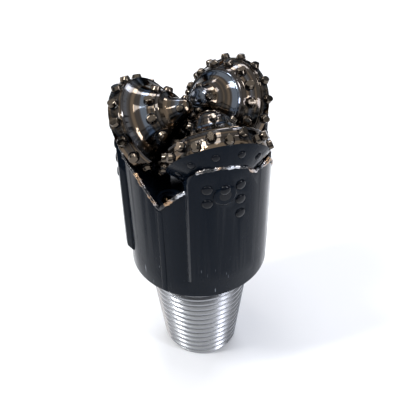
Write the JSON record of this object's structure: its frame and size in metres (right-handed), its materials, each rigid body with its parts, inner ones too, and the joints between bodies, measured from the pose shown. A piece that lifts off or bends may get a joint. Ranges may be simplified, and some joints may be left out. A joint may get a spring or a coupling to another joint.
{
  "type": "tricone drill bit",
  "caption": "Roller cone drill bit with three intermeshing carbide insert cones on sealed journal bearings, jet nozzles and a tapered threaded pin.",
  "frame": {"origin": "centre of the pin's end face, on the bit axis, where the mud bore opens", "axes": "+Z along the bit axis from the pin towards the cones; cone 3 leans out at 77.3 degrees clockwise from +X, cone 2 and cone 1 follow at 120 degree steps"},
  "size_m": [0.0939, 0.0989, 0.2021],
  "materials": {
    "black_paint": "glossy blue-black enamel on forged steel",
    "bare_steel": "bright turned steel",
    "cone_steel": "dark polished alloy steel",
    "carbide": "polished tungsten carbide",
    "bearing_steel": "ground hardened steel",
    "bearing_bronze": "machined bearing bronze",
    "spring_steel": "blued spring steel",
    "seal_rubber": "matt black nitrile rubber"
  },
  "bodies": {
    "body": {"pin": "bare_steel", "leg_1": "black_paint", "ball_plug_1": "bearing_steel", "leg_buttons_1": "carbide", "jet_sleeve_1": "bare_steel", "nozzle_1": "carbide", "leg_2": "black_paint", "ball_plug_2": "bearing_steel", "leg_buttons_2": "carbide", "jet_sleeve_2": "bare_steel", "nozzle_2": "carbide", "leg_3": "black_paint", "ball_plug_3": "bearing_steel", "leg_buttons_3": "carbide", "jet_sleeve_3": "bare_steel", "nozzle_3": "carbide", "nozzle_seals": "seal_rubber", "nozzle_snap_rings": "spring_steel", "reservoir_cups": "seal_rubber", "reservoir_caps": "bare_steel"},
    "cone_1_assembly": {"cone_1": "cone_steel", "outer_inserts_1": "carbide", "inner_inserts_1": "carbide", "nose_inserts_1": "carbide", "gauge_buttons_1": "carbide", "bearing_sleeve_1": "bearing_bronze", "pilot_bushing_1": "bearing_bronze", "thrust_washer_1": "bearing_bronze", "thrust_button_1": "bearing_steel", "cone_seal_1": "seal_rubber", "bearing_balls_1": "bearing_steel"},
    "cone_2_assembly": {"cone_2": "cone_steel", "outer_inserts_2": "carbide", "inner_inserts_2": "carbide", "nose_inserts_2": "carbide", "gauge_buttons_2": "carbide", "bearing_sleeve_2": "bearing_bronze", "pilot_bushing_2": "bearing_bronze", "thrust_washer_2": "bearing_bronze", "thrust_button_2": "bearing_steel", "cone_seal_2": "seal_rubber", "bearing_balls_2": "bearing_steel"},
    "cone_3_assembly": {"cone_3": "cone_steel", "outer_inserts_3": "carbide", "inner_inserts_3": "carbide", "nose_inserts_3": "carbide", "gauge_buttons_3": "carbide", "bearing_sleeve_3": "bearing_bronze", "pilot_bushing_3": "bearing_bronze", "thrust_washer_3": "bearing_bronze", "thrust_button_3": "bearing_steel", "cone_seal_3": "seal_rubber", "bearing_balls_3": "bearing_steel"}
  },
  "joints": [
    {"name": "cone_1_spin", "type": "hinge", "parent": "body", "child": "cone_1_assembly", "pos_m": [-0.02203, 0.00163, 0.17936], "axis": [-0.7724, 0.2406, -0.5878], "continuous": true},
    {"name": "cone_2_spin", "type": "hinge", "parent": "body", "child": "cone_2_assembly", "pos_m": [0.01242, 0.01827, 0.17936], "axis": [0.5946, 0.5486, -0.5878], "continuous": true},
    {"name": "cone_3_spin", "type": "hinge", "parent": "body", "child": "cone_3_assembly", "pos_m": [0.00961, -0.01989, 0.17936], "axis": [0.1779, -0.7892, -0.5878], "continuous": true}
  ]
}
